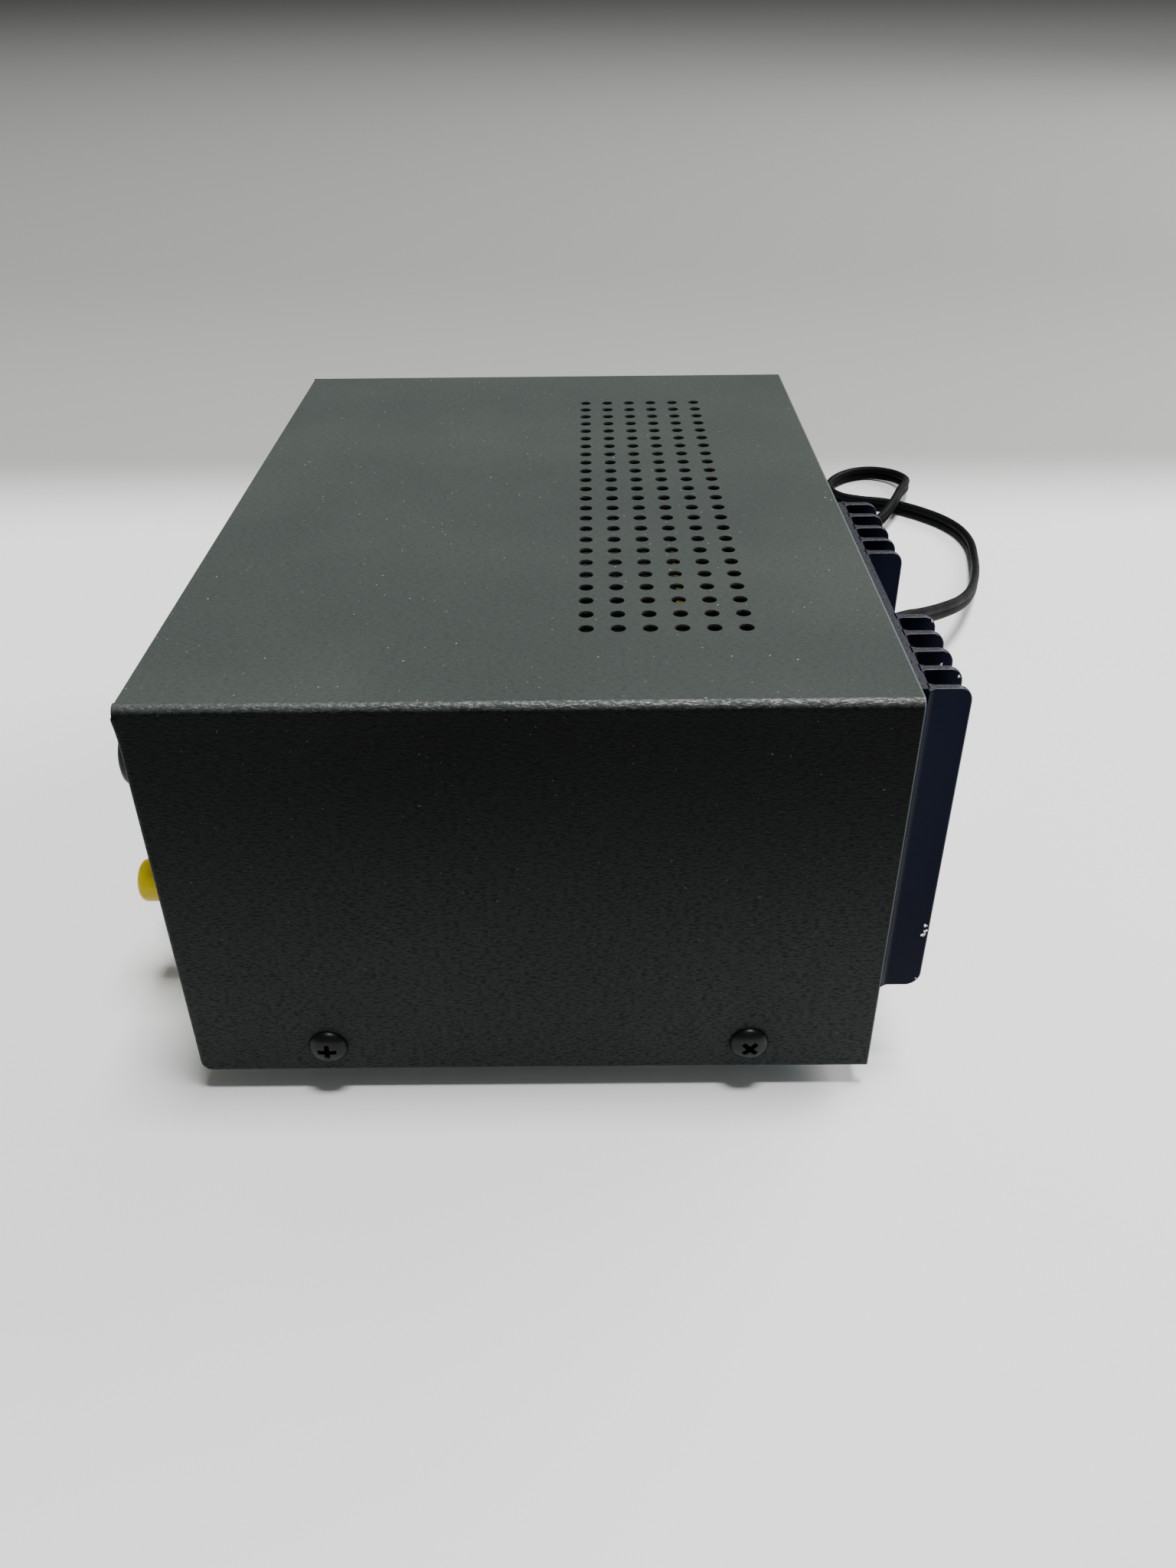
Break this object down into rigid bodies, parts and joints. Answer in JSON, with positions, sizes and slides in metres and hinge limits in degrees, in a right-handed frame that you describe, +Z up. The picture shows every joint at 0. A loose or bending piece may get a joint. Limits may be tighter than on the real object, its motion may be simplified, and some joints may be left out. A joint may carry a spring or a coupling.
{
  "type": "bench power supply",
  "caption": "Bench power supply: grey folded steel case with perforated top, finned rear heat sink, front panel meter, knobs, switch and coloured posts, and a mains cord.",
  "frame": {"origin": "on the floor, under the middle of the box round the case and its fittings, without the cord", "axes": "+X to the right seen from the front, +Y from the front panel to the heat sink, +Z up"},
  "size_m": [0.3884, 0.2716, 0.1],
  "materials": {
    "cover_paint": "dark grey fine wrinkle powder coat, satin",
    "plated_steel": "zinc-plated steel sheet, satin",
    "fascia_paint": "light grey screen-printed aluminium, matt",
    "black_anodised": "black anodised extrusion, satin, handling chips",
    "foot_rubber": "moulded rubber, matt",
    "black_screw": "black oxide steel, semi-gloss",
    "black_plastic": "moulded ABS, fine texture",
    "nickel": "nickel-plated brass, polished",
    "post_yellow": "glossy moulded thermoset",
    "post_red": "glossy moulded thermoset",
    "post_black": "glossy moulded thermoset",
    "post_blue": "glossy moulded thermoset",
    "post_green": "glossy moulded thermoset",
    "clear_plastic": "clear moulded acrylic",
    "dial_paint": "white lacquered aluminium",
    "needle_paint": "black lacquered aluminium",
    "lamp_red": "tinted clear lens",
    "laminations": "varnished silicon steel laminations",
    "copper_winding": "enamelled copper under yellow tape",
    "board": "green solder mask on glass epoxy",
    "capacitor_sleeve": "blue shrink sleeve",
    "cord_pvc": "black PVC, satin"
  },
  "bodies": {
    "case": {"cover": "cover_paint", "chassis": "plated_steel", "pot_1": "plated_steel", "pot_2": "plated_steel", "transformer_bracket": "plated_steel", "fascia": "fascia_paint", "heat_sink": "black_anodised", "transistor": "nickel", "pot_nut_1": "nickel", "pot_nut_2": "nickel", "plug_blade_left": "nickel", "plug_blade_right": "nickel", "post_stud_1": "nickel", "post_stud_2": "nickel", "post_stud_3": "nickel", "post_stud_4": "nickel", "post_stud_5": "nickel", "foot_front_left": "foot_rubber", "foot_front_right": "foot_rubber", "cover_screw_front_left": "black_screw", "cover_screw_front_right": "black_screw", "foot_rear_left": "foot_rubber", "foot_rear_right": "foot_rubber", "cover_screw_rear_left": "black_screw", "cover_screw_rear_right": "black_screw", "meter_case": "black_plastic", "switch_frame": "black_plastic", "bridge_rectifier": "black_plastic", "fuse_holder": "black_plastic", "post_base_1": "post_yellow", "post_base_2": "post_red", "post_base_3": "post_black", "post_base_4": "post_blue", "post_base_5": "post_green", "meter_window": "clear_plastic", "meter_dial": "dial_paint", "lamp": "lamp_red", "transformer_core": "laminations", "transformer_winding": "copper_winding", "circuit_board": "board", "capacitor_1": "capacitor_sleeve", "capacitor_2": "capacitor_sleeve", "strain_relief": "cord_pvc", "cord_run": "cord_pvc", "cord_coil": "cord_pvc", "cord_tie": "cord_pvc", "plug_body": "cord_pvc"},
    "knob_1": {"voltage_knob_1": "black_plastic", "pot_shaft_1": "nickel"},
    "knob_2": {"voltage_knob_2": "black_plastic", "pot_shaft_2": "nickel"},
    "rocker": {"power_rocker": "black_plastic"},
    "cap_1": {"post_cap_1": "post_yellow"},
    "cap_2": {"post_cap_2": "post_red"},
    "cap_3": {"post_cap_3": "post_black"},
    "cap_4": {"post_cap_4": "post_blue"},
    "cap_5": {"post_cap_5": "post_green"},
    "needle": {"meter_needle": "needle_paint"},
    "zero_screw": {"meter_zero_screw": "black_plastic"},
    "fuse_carrier": {"fuse_cap": "black_plastic"}
  },
  "joints": [
    {"name": "knob_1_turn", "type": "hinge", "parent": "case", "child": "knob_1", "pos_m": [0.066, 0, 0.0658], "axis": [0, 1, 0], "range_deg": [-150, 150]},
    {"name": "knob_2_turn", "type": "hinge", "parent": "case", "child": "knob_2", "pos_m": [0.028, 0, 0.0658], "axis": [0, 1, 0], "range_deg": [-150, 150]},
    {"name": "power_switch", "type": "hinge", "parent": "case", "child": "rocker", "pos_m": [-0.081, -0.0687, 0.021], "axis": [-1, 0, 0], "range_deg": [0, 16]},
    {"name": "post_1_unscrew", "type": "slide", "parent": "case", "child": "cap_1", "axis": [0, -1, 0], "range_m": [0, 0.004]},
    {"name": "post_2_unscrew", "type": "slide", "parent": "case", "child": "cap_2", "axis": [0, -1, 0], "range_m": [0, 0.004]},
    {"name": "post_3_unscrew", "type": "slide", "parent": "case", "child": "cap_3", "axis": [0, -1, 0], "range_m": [0, 0.004]},
    {"name": "post_4_unscrew", "type": "slide", "parent": "case", "child": "cap_4", "axis": [0, -1, 0], "range_m": [0, 0.004]},
    {"name": "post_5_unscrew", "type": "slide", "parent": "case", "child": "cap_5", "axis": [0, -1, 0], "range_m": [0, 0.004]},
    {"name": "needle_swing", "type": "hinge", "parent": "case", "child": "needle", "pos_m": [-0.051, 0, 0.0486], "axis": [0, 1, 0], "range_deg": [0, 90]},
    {"name": "zero_adjust", "type": "hinge", "parent": "case", "child": "zero_screw", "pos_m": [-0.051, 0, 0.0405], "axis": [0, 1, 0], "range_deg": [-20, 20]},
    {"name": "fuse_draw", "type": "slide", "parent": "case", "child": "fuse_carrier", "axis": [0, 1, 0], "range_m": [0, 0.03]}
  ]
}
